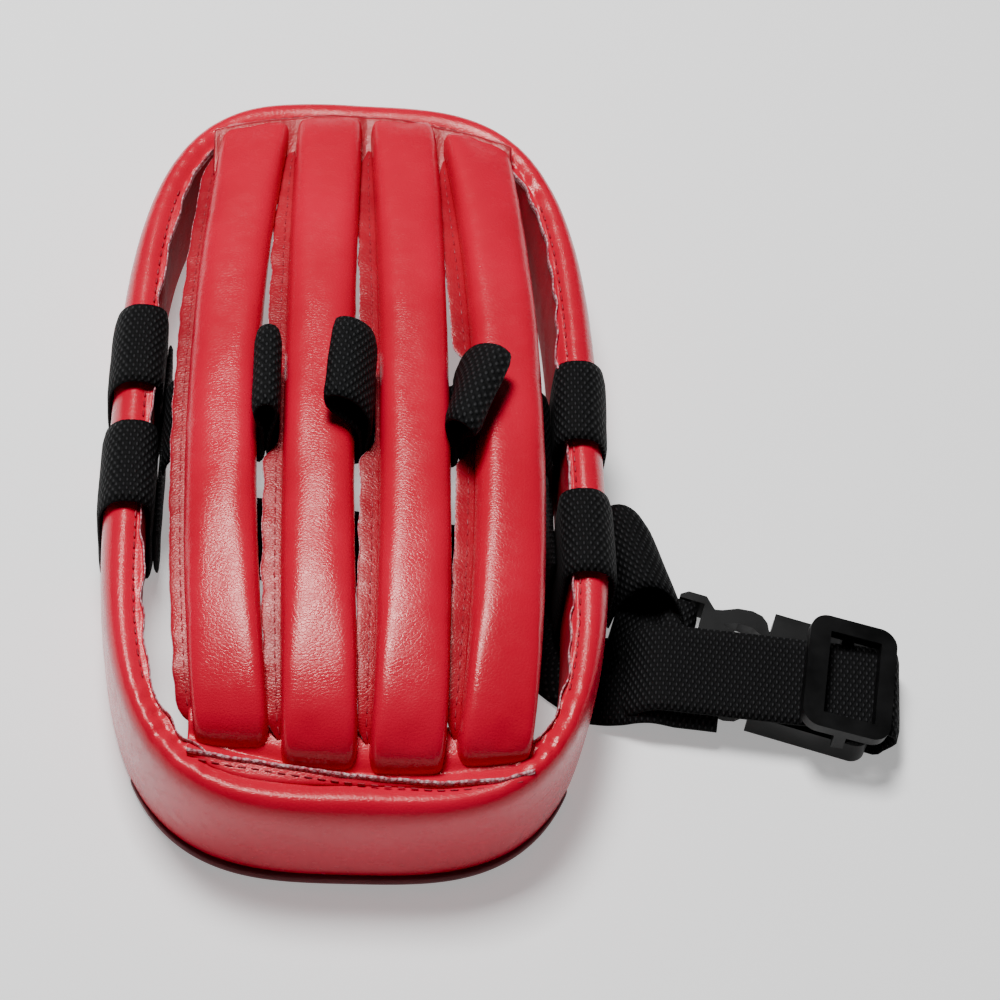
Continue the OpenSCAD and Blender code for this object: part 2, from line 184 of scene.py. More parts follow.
def woven_webbing():
    """Black webbing: staggered picks across the width, with painted highlights as lighter dashes on their
    tops.
    """
    row_pitch, pick_pitch = 0.0017, 0.0028
    n = Nodes("black_webbing")
    where = n.add("SeparateXYZ")
    n.put(where.inputs[0], n.coordinates("UV"))
    along, across = where.outputs[0], where.outputs[1]
    rows = n.math("SINE", n.math("MULTIPLY", along, 2 * math.pi / row_pitch))
    picks = n.math("SINE", n.math("MULTIPLY", across, 2 * math.pi / pick_pitch))
    weave = n.math("MULTIPLY", rows, picks)
    ribs = n.math("ABSOLUTE", rows)
    fibre = n.noise(n.coordinates("Object"), 2600, 3)
    # Lighter colour on the tops of the picks is a painted highlight; the fibre noise is the webbing's own
    # tone.
    painted_highlight_tops = n.span(weave, 0.15, 0.75, 0.0, 1.0)
    tone_and_painted_light = n.math("ADD", n.math("MULTIPLY", painted_highlight_tops, 0.75), n.math("MULTIPLY", fibre, 0.35))
    colour = n.ramp(tone_and_painted_light, (0.15, (0.0020, 0.0020, 0.0022)), (0.55, (0.0045, 0.0045, 0.005)),
                    (0.95, (0.021, 0.021, 0.0225)))
    height = n.math("ADD", n.math("MULTIPLY", weave, 0.6), n.math("MULTIPLY", ribs, 0.35))
    height = n.math("ADD", height, n.math("MULTIPLY", fibre, 0.25))
    return n.set(Base_Color=colour, Roughness=n.span(tone_and_painted_light, 0, 1, 0.80, 0.55),
                 Normal=n.bump(height, 0.9, 0.0004), Specular_IOR_Level=0.12)


def moulded_plastic():
    """Satin black plastic with a fine spark eroded texture and slightly worn, brighter patches."""
    n = Nodes("black_moulded_plastic")
    where = n.coordinates("Object")
    spark = n.noise(where, 3200, 3)
    wear = n.noise(where, 120, 4)
    colour = n.ramp(wear, (0.35, (0.0012, 0.0012, 0.0013)), (0.7, (0.0028, 0.0028, 0.003)))
    return n.set(Base_Color=colour, Roughness=n.span(wear, 0.3, 0.7, 0.36, 0.50),
                 Normal=n.bump(spark, 0.25, 0.00006), Specular_IOR_Level=0.2)


def sewing_thread(name, colour):
    """Twisted thread, seen as fine slanting lines, with painted shade darkening the grooves of the twist."""
    n = Nodes(name)
    twist = n.add("TexWave")
    n.put(twist.inputs["Vector"], n.coordinates("Object", (1, 1, 0.6)))
    twist.inputs["Scale"].default_value = 900
    wave = twist.outputs["Fac"]
    # The thread is darker in the grooves of the twist: painted shade.
    tone_and_painted_light = n.ramp(wave, (0.2, tuple(c * 0.6 for c in colour)), (0.8, colour))
    return n.set(Base_Color=tone_and_painted_light, Roughness=n.span(wave, 0, 1, 0.5, 0.7), Normal=n.bump(wave, 0.5, 0.0001))


LINING = lining_fabric()
KNIT = knit_edge()
WEBBING = woven_webbing()
PLASTIC = moulded_plastic()
THREAD = sewing_thread("dark_red_thread", (0.42, 0.003, 0.022))

# ---- mesh helpers ------------------------------------------------------


def face_outwards(mesh):
    """Turn the faces of a closed mesh to the outside."""
    shell = bmesh.new()
    shell.from_mesh(mesh)
    if all(edge.is_manifold for edge in shell.edges) and shell.calc_volume(signed=True) < 0:
        mesh.flip_normals()
    shell.free()


def new_mesh(name, points, faces, materials, body="head_guard", uvs=None, face_material=None):
    """A smooth mesh from points in millimetres. uvs has a pair in metres for each face corner."""
    mesh = bpy.data.meshes.new(name)
    mesh.from_pydata([tuple(c * MM for c in p) for p in points], [], faces)
    for material in materials:
        mesh.materials.append(material)
    if uvs:
        layer = mesh.uv_layers.new(name="UVMap")
        for loop, uv in zip(layer.data, uvs):
            loop.uv = uv
    for k, polygon in enumerate(mesh.polygons):
        polygon.use_smooth = True
        if face_material:
            polygon.material_index = face_material[k]
    face_outwards(mesh)
    piece = bpy.data.objects.new(name, mesh)
    bpy.context.scene.collection.objects.link(piece)
    if body:
        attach(piece, body)
    return piece


def add_modifier(piece, kind, **settings):
    modifier = piece.modifiers.new(kind.lower(), kind)
    for key, value in settings.items():
        setattr(modifier, key, value)
    return modifier


def subdivide(piece):
    """One subdivision, applied with the modifiers before it, so that the piece is its final mesh."""
    add_modifier(piece, "SUBSURF", levels=1, render_levels=1)
    graph = bpy.context.evaluated_depsgraph_get()
    mesh = bpy.data.meshes.new_from_object(piece.evaluated_get(graph))
    piece.modifiers.clear()
    piece.data = mesh


def skin_rings(rings, closed_rings, closed_path):
    """Quads between rings of equal length, as lists of point numbers."""
    n, m = len(rings[0]), len(rings)
    faces = []
    for k in range(m if closed_path else m - 1):
        for j in range(n if closed_rings else n - 1):
            a, b = k * n + j, k * n + (j + 1) % n
            c, d = (k + 1) % m * n + (j + 1) % n, (k + 1) % m * n + j
            faces.append((a, b, c, d))
    return faces


def capped_tube(rings):
    """Faces of a tube through the rings, with its two end caps last."""
    n = len(rings[0])
    caps = [tuple(reversed(range(n))), tuple(range((len(rings) - 1) * n, len(rings) * n))]
    return skin_rings(rings, True, False) + caps


def points_of(rings):
    return [p for ring in rings for p in ring]


def smooth_path(points, step=2.0):
    """A Catmull-Rom curve through the points, resampled to even steps."""
    points = [Vector(p) for p in points]
    ends = [2 * points[0] - points[1]] + points + [2 * points[-1] - points[-2]]
    fine = []
    for k in range(1, len(ends) - 2):
        a, b, c, d = ends[k - 1:k + 3]
        for i in range(16):
            t = i / 16
            fine.append(0.5 * (2 * b + (c - a) * t + (2 * a - 5 * b + 4 * c - d) * t ** 2
                               + (3 * b - a - 3 * c + d) * t ** 3))
    fine.append(points[-1].copy())
    return even_steps(fine, step)


def even_steps(line, step, count=None):
    """The line resampled to even steps, or to count steps."""
    lengths = [0.0]
    for a, b in zip(line, line[1:]):
        lengths.append(lengths[-1] + (b - a).length)
    count = count or max(2, round(lengths[-1] / step))
    out, k = [], 0
    for i in range(count + 1):
        want = lengths[-1] * i / count
        while k < len(line) - 2 and lengths[k + 1] < want:
            k += 1
        gap = max(lengths[k + 1] - lengths[k], 1e-9)
        out.append(line[k].lerp(line[k + 1], (want - lengths[k]) / gap))
    return out


def tangents(line, closed=False):
    n = len(line)
    if closed:
        return [(line[(k + 1) % n] - line[k - 1]).normalized() for k in range(n)]
    return [(line[min(k + 1, n - 1)] - line[max(k - 1, 0)]).normalized() for k in range(n)]


def ribbon(name, line, across, width, thick, wobble, body="head_guard", closed=False, shape=None):
    """Webbing along a line. across is the direction over its width, or a list with one for each point.
    wobble is the depth of its waves. shape(point, v) may move a point, v from -1 to 1 over the width."""
    columns = 10
    half = [-1 + 2 * j / columns for j in range(columns + 1)]
    section = [(v, +1) for v in half] + [(v, -1) for v in reversed(half)]
    directions = tangents(line, closed)
    rings, length, lengths = [], 0.0, []
    for k, (here, t) in enumerate(zip(line, directions)):
        if k:
            length += (here - line[k - 1]).length
        lengths.append(length)
        side = across[k] if isinstance(across, list) else Vector(across)
        up = t.cross(side).normalized()
        ring = []
        for v, face in section:
            edge = math.sqrt(max(0.0, 1 - abs(v) ** 10))
            rise = face * thick / 2 * (0.35 + 0.65 * edge)
            wave = wobble * noise.noise(Vector((length / 9, v * 1.3, len(name))))
            p = here + side * (v * width / 2) + up * (rise + wave)
            if shape:
                p = shape(p, v)
            ring.append(p)
        rings.append(ring)
    faces = skin_rings(rings, True, closed)
    n = len(section)
    total = length + ((line[0] - line[-1]).length if closed else 0)
    uvs = []
    for k in range(len(rings) if closed else len(rings) - 1):
        u0 = lengths[k]
        u1 = lengths[k + 1] if k + 1 < len(rings) else total
        for j in range(n):
            v0, v1 = section[j][0], section[(j + 1) % n][0]
            for u, v in ((u0, v0), (u0, v1), (u1, v1), (u1, v0)):
                uvs.append((u * MM, (v + 1) * width / 2 * MM))
    if not closed:
        for start, flip in ((0, True), ((len(rings) - 1) * n, False)):
            for j in range(columns):
                a, b = start + j, start + j + 1
                c, d = start + n - 2 - j, start + n - 1 - j
                faces.append((d, c, b, a) if flip else (a, b, c, d))
                uvs.extend([(0.0, half[j] * width / 2 * MM)] * 4)
    return new_mesh(name, points_of(rings), faces, [WEBBING], body, uvs)


STITCH_PITCH, STITCH_LENGTH = 3.2, 2.1


def stitches(name, seams, radius):
    """Rows of separate stitches. Each seam is a list of (point, normal), in order."""
    sides = 6
    points, faces = [], []
    for seam in seams:
        line = even_steps([p for p, _ in seam], STITCH_PITCH)
        for a, b in zip(line, line[1:]):
            t = (b - a).normalized()
            near = min(seam, key=lambda q: (q[0] - a).length_squared)[1]
            side = t.cross(near).normalized()
            up = side.cross(t)
            middle = (a + b) / 2
            base = len(points)
            for x, r in ((-0.5, 0.25), (-0.32, 1.0), (0.32, 1.0), (0.5, 0.25)):
                for j in range(sides):
                    turn = j * math.pi / 3
                    points.append(middle + t * x * STITCH_LENGTH + side * math.cos(turn) * radius * r
                                  + up * (math.sin(turn) * radius * r * 0.8 + 0.12 * (1 - abs(2 * x))))
            for row in range(3):
                low = base + row * sides
                for j in range(sides):
                    after = (j + 1) % sides
                    faces.append((low + j, low + sides + j, low + sides + after, low + after))
            faces.append(tuple(base + j for j in range(sides)))
            faces.append(tuple(base + 3 * sides + j for j in reversed(range(sides))))
    new_mesh(name, points, faces, [THREAD])


SIM_FRAMES = 20


def inflate(piece, pinned, pressure, cap):
    """Cloth simulation of a stuffed piece: it swells where it isn't pinned, by no more than about cap."""
    start = [v.co.copy() for v in piece.data.vertices]
    group = piece.vertex_groups.new(name="pinned")
    group.add(pinned, 1.0, "REPLACE")
    cloth = add_modifier(piece, "CLOTH")
    settings = cloth.settings
    settings.quality = 6
    settings.mass = 0.002
    settings.use_pressure = True
    settings.uniform_pressure_force = pressure
    settings.vertex_group_mass = "pinned"
    settings.effector_weights.gravity = 0
    settings.tension_stiffness = settings.compression_stiffness = 20
    settings.bending_stiffness = 1.0
    scene = bpy.context.scene
    for number in range(1, SIM_FRAMES + 1):
        scene.frame_set(number)
    graph = bpy.context.evaluated_depsgraph_get()
    swollen = [v.co.copy() for v in piece.evaluated_get(graph).data.vertices]
    piece.modifiers.clear()
    scene.frame_set(1)
    moved = sorted((b - a).length for a, b in zip(start, swollen))
    print(f"{piece.name}: half of it moved over {moved[len(moved) // 2] / MM:.3f} mm,",
          f"none over {moved[-1] / MM:.3f} mm")
    for vertex, a, b in zip(piece.data.vertices, start, swollen):
        move = b - a
        size = move.length
        if size > 1e-9:
            vertex.co = a + move * (cap * MM * math.tanh(size / (cap * MM)) / size)
    piece.vertex_groups.clear()


# ---- headband ----------------------------------------------------------

HALF_WIDTH, HALF_LENGTH, TAPER, WALL = 65.0, 115.5, 0.034, 10.0
BAND_ROUND = 620.0              # roughly the length round the outside, which spaces the waves and creases


def oblong(half_x, half_y, powers, t):
    """Point of a rounded oblong that narrows to the back. powers square its front and its back corners."""
    c, s = math.cos(t), math.sin(t)
    power = powers[1] if s > 0 else powers[0]
    r = (abs(c) ** power + abs(s) ** power) ** (-1 / power)
    return Vector((half_x * r * c * (1 - TAPER * r * s), half_y * r * s, 0))


def outer(t):
    return oblong(HALF_WIDTH, HALF_LENGTH, (3.23, 3.38), t)


def inner(t):
    return oblong(HALF_WIDTH - WALL, HALF_LENGTH - WALL, (4, 4), t)


def even_angles(count):
    """Angles that share the headband's outline into equal lengths."""
    steps = 2000
    fine = [k * 2 * math.pi / steps for k in range(steps + 1)]
    lengths = [0.0]
    for a, b in zip(fine, fine[1:]):
        lengths.append(lengths[-1] + (outer(b) - outer(a)).length)
    out, k = [], 0
    for i in range(count):
        want = lengths[-1] * i / count
        while lengths[k + 1] < want:
            k += 1
        out.append(fine[k] + (fine[k + 1] - fine[k]) * (want - lengths[k]) / (lengths[k + 1] - lengths[k]))
    return out


# Section of the headband: distance in from the outside, and height.
BAND_SECTION = [(0.6, 0.2), (0.15, 1.6), (0.1, 5), (0.0, 9), (-0.1, 14), (-0.1, 19), (0.0, 24), (0.2, 28),
                (0.4, 31), (1.0, 33.3), (2.2, 35.1), (3.8, 35.9), (5.4, 35.8), (6.8, 35.4), (7.9, 34.9),
                (8.6, 34.6), (9.2, 34.5), (9.8, 34.6), (10.2, 34.6), (10.2, 34.0), (10.0, 31), (10.0, 25),
                (10.0, 18), (10.0, 11), (10.0, 5), (9.8, 1.4), (9.2, 0.2), (5, 0.1)]
FIRST_INNER = 18                # from this point on, the section is lining
ROLL = range(8, 18)             # the rounded top, which creases at the corners
SLACK_EDGE = range(16, 20)      # the wavy inner edge of the top
BAND_SEAMS = (14, 15, 18)       # stay put while the padding swells


def corner_share(t):
    """1 in the headband's front corners, 0 along its sides, and less at the back corners."""
    x, y = outer(t).x, outer(t).y
    near = math.exp(-((abs(x) - 50) / 13) ** 2) * math.exp(-((abs(y) - 96) / 17) ** 2)
    return near * (1.0 if y < 0 else 0.55)


def edge_wave(s):
    """Height of the quick and slow waves in the headband's inner edge, at s round the headband."""
    return noise.noise(Vector((s / 7.5, 0.0, 1.7))) * 1.5 + noise.noise(Vector((s / 23, 5.0, 1.7))) * 1.6


def wrinkle_headband(band, angles):
    """Creases that gather the leatherette over the corners, and a slack, wavy inner edge."""
    run = BAND_ROUND / len(angles)
    for k, t in enumerate(angles):
        s = k * run
        corner = corner_share(t)
        inward = (inner(t) - outer(t)).normalized()
        for j, (w, z) in enumerate(BAND_SECTION):
            v = band.data.vertices[k * len(BAND_SECTION) + j]
            rough = noise.noise(Vector((s / 14, j / 9, 3.1)))
            v.co += UP * 0.18 * rough * MM * (1 if z > 20 else 0.2)
            if j in ROLL:
                drift = 2.6 * noise.noise(Vector((s / 9, 0.3, 7)))
                crease = math.sin(s / 5.4 * 2 * math.pi + drift + w * 0.3)
                depth = corner * (0.35 + 0.65 * (j - ROLL.start) / 9)
                lift = UP * (1.45 * crease * depth) + inward * (0.5 * crease * depth)
                v.co += lift * MM
            if j in SLACK_EDGE:
                wave = edge_wave(s)
                v.co += (inward * wave * 0.8 + Vector((0, 0, 0.35 * wave))) * MM


def build_headband():
    angles = even_angles(250)
    points, pinned = [], []
    n = len(BAND_SECTION)
    for t in angles:
        out, inward = outer(t), inner(t) - outer(t)
        for j, (w, z) in enumerate(BAND_SECTION):
            p = out + inward * (w / WALL)
            if z < 2 or j in BAND_SEAMS:
                pinned.append(len(points))
            points.append(Vector((p.x, p.y, z)))
    faces = skin_rings([points[k:k + n] for k in range(0, len(points), n)], True, True)
    slots = [1 if k % n >= FIRST_INNER else 0 for k in range(len(faces))]
    band = new_mesh("headband", points, faces, [RED, LINING], None, face_material=slots)
    inflate(band, pinned, 40, 0.8)
    wrinkle_headband(band, angles)
    subdivide(band)
    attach(band, "head_guard")
    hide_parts("band_cover_front", "band_cover_back", "band_cover_left", "band_cover_right",
                "band_foam", "band_lining")


# Section of the backing's cut edge: across, and up from its top.
RAW_EDGE_SECTION = [(-0.2, -2.0), (-0.22, -0.7), (-0.15, 0), (0.0, 0.1), (0.15, 0.0), (0.22, -0.8),
                    (0.2, -2.0)]


def build_raw_edge():
    """The cut edge of the backing, standing just inside the headband's top seam."""
    rings = []
    angles = even_angles(420)
    for k, t in enumerate(angles):
        s = k * BAND_ROUND / len(angles)
        out, inward = outer(t), inner(t) - outer(t)
        unit = inward.normalized()
        wave = edge_wave(s)
        fray = 0.16 * noise.noise(Vector((s * 1.3, 2.0, 4.0)))
        top = 35.7 + 0.35 * wave + fray * 1.6
        top -= 2.6 * max(0.0, min(1.0, (44 - abs(out.x - 1)) / 4))  # hidden below the end panels
        here = out + inward * 1.02 + unit * (wave * 0.8 + 0.15)
        ring = []
        for w, z in RAW_EDGE_SECTION:
            p = here + unit * (w + fray)
            ring.append(Vector((p.x, p.y, top + z)))
        rings.append(ring)
    edge = new_mesh("headband_raw_edge", points_of(rings), skin_rings(rings, True, True), [KNIT])
    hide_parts("band_seam")


def side_seams():
    """Lines of stitching along the inside of the headband's top, on the left and on the right."""
    seam_reach = 84             # y at which the seams end
    seams = []
    for start in (-60, 120):
        seam = []
        for k in range(121):
            t = math.radians(start + k)
            if abs(outer(t).y) < seam_reach:
                p = outer(t) + (inner(t) - outer(t)) * 0.82
                seam.append((Vector((p.x, p.y, 35.05)), UP))
        seams.append(seam)
    return seams


# Section of the lip under the front wall: distance out from the headband's outside, and height.
LIP_SECTION = [(1.3, 1.0), (1.5, 2.0), (1.3, 3.1), (0.6, 3.8), (-1.5, 4.0), (-8.0, 4.0), (-9.6, 3.4),
               (-9.8, 1.8), (-9.4, 0.3), (-4, 0.05), (0.7, 0.15)]
LIP_END = 42                    # degrees from the headband's sides to the lip's ends
LIP_TAPER = 18                  # steps over which each end grows thinner


def build_forehead_pad():
    """Padded lip that shows below the front wall, coloured dark as painted shade."""
    low, high = math.radians(180 + LIP_END), math.radians(360 - LIP_END)
    line = even_steps([outer(low + (high - low) * k / 240) for k in range(241)], 2.4)
    rings = []
    for k, (here, t) in enumerate(zip(line, tangents(line))):
        out = Vector((t.y, -t.x, 0)).normalized()
        share = min(1.0, k / LIP_TAPER, (len(line) - 1 - k) / LIP_TAPER)
        size = 0.35 + 0.65 * math.sin(share * math.pi / 2)
        ring = []
        for a, z in LIP_SECTION:
            p = here + out * (a if a < 0 else a * size - 0.6 * (1 - size))
            ring.append(Vector((p.x, p.y, z * (0.4 + 0.6 * size))))
        rings.append(ring)
    pad = new_mesh("forehead_lip", points_of(rings), capped_tube(rings), [LIP_RED_PAINTED_SHADE])
    subdivide(pad)
    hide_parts("forehead_pad")


# ---- padded strips -----------------------------------------------------

STRIP_WIDTH = 18.5
STRIP_SIDE = 9.0                # half the width of a strip's base
SHIFT, APEX_Y = 1.3, -35.0      # x of the strips' middle line, and y of their crown
FRONT_Z, BACK_Z = 31.0, 38.6    # height of the strips' ends
CROWN, DROP = 52.5, 2.5         # height of the two middle strips, and how much lower the outer ones are
LEAN = 5.0                      # degrees that each strip leans more than the one before
PITCH = (21.7, 25.4, 20.8)      # spacing of the strips at the front, half way and at the back


def pitch_at(w):
    """Spacing of the strips at the share w of their length: a parabola through the three pitches."""
    a, b, c = PITCH
    return a * (1 - w) * (1 - 2 * w) + 4 * b * w * (1 - w) + c * w * (2 * w - 1)


def arch(i, t):
    """Middle of strip i's top face, from t = 0 at the front end to pi at the back end."""
    step = i - 1.5
    front = -104.6 - 0.9 * step + 2.2 * step ** 2
    back = 107 - 2.0 * (step + 0.12) ** 2
    reach, end_z, power = (front, FRONT_Z, 3.0) if t <= math.pi / 2 else (back, BACK_Z, 1.7)
    y = APEX_Y + (reach - APEX_Y) * abs(math.cos(t)) ** (2 / power)
    top = CROWN - DROP * (abs(step) - 0.5)
    z = end_z + (top - end_z) * abs(math.sin(t)) ** (2 / power)
    return Vector((SHIFT + step * pitch_at((y - front) / (back - front)), y, z))


def strip_frames(i, count):
    """Evenly spaced (point, side, top) frames over strip i."""
    line = even_steps([arch(i, math.pi * k / 400) for k in range(401)], None, count)
    frames = []
    for here, along in zip(line, tangents(line)):
        up = Vector((0, -along.z, along.y)).normalized()
        tilt = math.radians(LEAN * (i - 1.5))
        top = up * math.cos(tilt) + Vector((math.sin(tilt), 0, 0))
        side = along.cross(top).normalized()
        frames.append((here, side, top))
    return frames


# Section of a strip from its lower left corner round over the top: (across, up).
STRIP_SECTION = [(-9.0, -7.9), (-9.15, -6.2), (-9.2, -4.4), (-9.1, -2.9), (-8.6, -1.5), (-7.6, -0.75),
                 (-5.8, -0.55), (-3.5, -0.45), (-1.2, -0.42), (1.2, -0.42), (3.5, -0.45), (5.8, -0.55),
                 (7.6, -0.75), (8.6, -1.5), (9.1, -2.9), (9.2, -4.4), (9.15, -6.2), (9.0, -7.9),
                 (6, -8.0), (2, -8.0), (-2, -8.0), (-6, -8.0)]
FIRST_UNDER = 17                # from this point on, the section is lining
SOFT_END = 7                    # frames over which a strip sinks towards its end


def build_strip(i):
    frames = strip_frames(i, 120)
    n = len(STRIP_SECTION)
    points, pinned = [], []
    for k, (here, side, top) in enumerate(frames):
        for a, b in STRIP_SECTION:
            if b < -6 or min(k, len(frames) - 1 - k) < 2:
                pinned.append(len(points))
            points.append(here + side * a + top * b)
    faces = capped_tube([points[k:k + n] for k in range(0, len(points), n)])
    slots = [1 if k % n >= FIRST_UNDER else 0 for k in range(len(faces) - 2)] + [0, 0]
    strip = new_mesh(f"padded_strip_{i + 1}", points, faces, [RED, LINING], None, face_material=slots)
    inflate(strip, pinned, 60, 1.0)
    spacing = 2.0               # of the frames, nearly
    for k, (_, side, top) in enumerate(frames):
        s = k * spacing
        end = min(k, len(frames) - 1 - k)
        for j, (a, b) in enumerate(STRIP_SECTION):
            v = strip.data.vertices[k * n + j]
            low_edge = max(0.0, 1 - abs(b + 5.6) / 2.6)
            pucker = noise.noise(Vector((s / 5.5, math.copysign(3.0, a), i * 9.0))) * 0.55 * low_edge
            slack = noise.noise(Vector((s / 24, a / 14, i * 5.0 + 2))) * 0.55 * (b > -3)
            v.co += (side * math.copysign(pucker, a) + top * slack) * MM
            if end < SOFT_END and b > -7:
                v.co -= top * (0.07 * (SOFT_END - end)) * MM
    subdivide(strip)
    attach(strip, "head_guard")
    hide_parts(f"strip_cover_{i + 1}", f"strip_foam_{i + 1}", f"strip_lining_{i + 1}")


def clearance_at(y, lane):
    """Free width to the left of a strip, less where a hump of webbing comes through."""
    if lane == 0:
        return 4.8
    front, length = -103.5, 211.5       # of the strips
    room = pitch_at((y - front) / length) - STRIP_WIDTH + 0.3
    hump = max(0.0, min(1.0, (21 - abs(y - CROSS_Y)) / 6))
    room = room * (1 - hump) + min(room, 1.4) * hump
    return max(0.9, min(5.6, room))


# Section of a sewn edge: share of its reach (or mm, where it runs under the strip), and height.
SEWN_SECTION = [(0.6, 0.55), (-0.25, 0.5), (-0.6, 0.55), (-0.88, 0.5), (-0.98, 0.38),
                (-1.02, 0.2), (-1.0, -0.1), (-0.85, -0.4), (-0.4, -0.5), (0.6, -0.5)]


def build_sewn_edge(i):
    """Flat, wavy sewn edge along the left of a strip, with a pale cut edge. Its leatherette is darkened as
    painted shade.
    """
    frames = strip_frames(i, 150)[5:-5]
    spacing = 1.6               # of the frames, nearly
    rings, seam = [], []
    for k, (here, side, top) in enumerate(frames):
        s = k * spacing
        taper = min(1.0, (k + 1) / 8, (len(frames) - k) / 8)
        reach = clearance_at(here.y, i) * taper * (0.9 + 0.12 * noise.noise(Vector((s / 7, i * 7.0, 0))))
        rise = 0.45 * noise.noise(Vector((s / 5.5, i * 3.0, 5)))
        rise += 0.4 * noise.noise(Vector((s / 17, i * 3.0, 9)))
        ring = []
        for a, b in SEWN_SECTION:
            across = -STRIP_SIDE + (reach * a if a < 0 else a)
            lift = rise * max(0.0, -a) ** 1.5
            ring.append(here + side * across + top * (-7.2 + b + lift))
        rings.append(ring)
        seam.append((here + side * (-STRIP_SIDE - reach * 0.36) + top * (-6.62 + rise * 0.2), top))
    faces = capped_tube(rings)
    slots = [1 if k % len(SEWN_SECTION) in (4, 5) else 0 for k in range(len(faces) - 2)] + [0, 0]
    edge = new_mesh(f"sewn_edge_{i + 1}", points_of(rings), faces, [RED_PAINTED_SHADE, KNIT], face_material=slots)
    subdivide(edge)
    return seam[3:-3]


# Where the strips' panel is sewn to the top of the headband in front: (x, y).
FRONT_SEAM = [(-44, -98.3), (-32, -100.4), (-14, -103.2), (5.5, -105.3), (20, -106.2), (36, -104.6),
              (45, -101.5)]
# Depth of the panels below the strips' top faces, at distances from the strips' ends.
FRONT_RISE = [(18, 6.8), (13.5, 6.2), (10.5, 5.3), (8.5, 4.3), (7, 3.3), (5.8, 2.3), (4.6, 1.3), (3.4, 0.5)]
BACK_RISE = [(16, 6.4), (12, 5.4), (9, 4.0), (6.5, 2.5), (4.5, 1.3), (3.0, 0.5), (2.0, 0.0)]


def between(table, x):
    """Value of a table of (x, value) pairs at x."""
    for (a, low), (b, high) in zip(table, table[1:]):
        if x <= b:
            return low + (high - low) * (x - a) / (b - a)
    return table[-1][1]


def inner_y(x, end):
    """y of the headband's inner outline at x, in front (end = -1) or at the back (end = 1)."""
    low, high = (math.pi if x < 0 else 0.0), math.pi / 2
    if end < 0:
        low, high = (math.pi if x < 0 else 2 * math.pi), 1.5 * math.pi
    for _ in range(40):
        middle = (low + high) / 2
        if abs(inner(middle).x) > abs(x):
            low = middle
        else:
            high = middle
    return inner(low).y


def panel_ribs(x, end, pucker):
    """Points of an end panel at x, down from the strips' top faces towards the headband."""
    pitch, rises = (PITCH[0], FRONT_RISE) if end < 0 else (PITCH[2], BACK_RISE)
    i = (x - SHIFT) / pitch + 1.5
    step = 0.5
    turns = [math.pi * k / 1200 for k in range(420)]
    line = even_steps([arch(i, t if end < 0 else math.pi - t) for t in turns], step)
    ways = tangents(line)
    lane = 1.0 if i < 0 or i > 3 else abs((i % 1) - 0.5) * 2    # 0 half way between two strips
    ring = []
    for rise, depth in rises:
        k = round(rise / step)
        top = Vector((0, ways[k].z * end, abs(ways[k].y))).normalized()
        p = line[k] - top * (depth + (1 - lane) * (0.3 + 0.11 * rise) + 0.25 * pucker * (rise < 12))
        ring.append(Vector((x, p.y, p.z)))
    return ring


def build_end_panel(end):
    """Leatherette that the strips run out into, sewn onto the headband's top, which is 36 mm up.
    Gives the line of its thread."""
    name = "front" if end < 0 else "back"
    low, high = (-41.5, 43.5) if end < 0 else (-41.5, 42.5)
    columns = 110
    rings, seam, thread = [], [], []
    for c in range(columns + 1):
        x = low + (high - low) * c / columns
        pucker = noise.noise(Vector((x / 3.2, 4.0, 8.0 * end)))
        ring = panel_ribs(x, end, pucker)
        edge = between(FRONT_SEAM, x) if end < 0 else max(ring[-1].y + 1.2, inner_y(x, 1) - 0.6)
        edge += 0.5 * noise.noise(Vector((x / 9, 2.0, 2.0)))
        last = ring[-1]
        ring.append(Vector((x, (last.y + edge - 0.6 * end) / 2, (last.z + 36.0) / 2 - 0.4)))
        ring.append(Vector((x, edge - 0.5 * end, 35.9 + 0.2 * pucker)))
        ring.append(Vector((x, edge + 0.3 * end, 35.7)))
        wall = max((edge + 1.2 * end) * end, (inner_y(x, end) + 1.6 * end) * end) * end
        ring.append(Vector((x, (edge + wall) / 2 + 0.2 * end, 35.3)))
        ring.append(Vector((x, wall, 35.0)))
        rings.append(ring if end < 0 else ring[::-1])
        seam.append(Vector((x, edge + 0.1 * end, 36.3 + 0.25 * pucker)))
        thread.append((Vector((x, edge + 1.9 * end, 35.5)), UP))
    # The back panel uses the darker copy of the leatherette: painted shade that also dims its highlights.
    leather = RED if end < 0 else RED_PAINTED_SHADE
    panel = new_mesh(f"{name}_panel", points_of(rings), skin_rings(rings, False, False), [leather])
    add_modifier(panel, "SOLIDIFY", thickness=1.0 * MM, offset=-1.0)
    subdivide(panel)
    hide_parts(f"{name}_yoke")
    build_panel_raw_edge(name, seam)
    return thread[3:-3]


def build_panel_raw_edge(name, seam):
    """The frayed cut edge that stands along an end panel's seam."""
    section = [(-0.7, -0.7), (-0.42, 0.1), (-0.12, 0.4), (0.25, 0.3), (0.35, -0.9)]
    rings = []
    for k, here in enumerate(seam):
        fray = 0.12 * noise.noise(Vector((k * 1.7, 2.0, 4.0)))
        rings.append([here + Vector((0, y + fray, z + 2 * fray)) for y, z in section])
    edge = new_mesh(f"{name}_raw_edge", points_of(rings), capped_tube(rings), [KNIT])


# ---- webbing -----------------------------------------------------------

LEFT, RIGHT = -1, 1
WEB = 26.0                      # width of the webbing
# Side and front edge of each loop round the headband.
LOOPS = {"loop_left_rear": (LEFT, 9.5), "loop_left_front": (LEFT, -28.5),
         "loop_right_rear": (RIGHT, -3.5), "loop_right_front": (RIGHT, -45)}


def outline_x(outline, y):
    """Half the width of an outline at y."""
    low, high = -math.pi / 2, math.pi / 2
    for _ in range(40):
        middle = (low + high) / 2
        if outline(middle).y < y:
            low = middle
        else:
            high = middle
    return outline(low).x


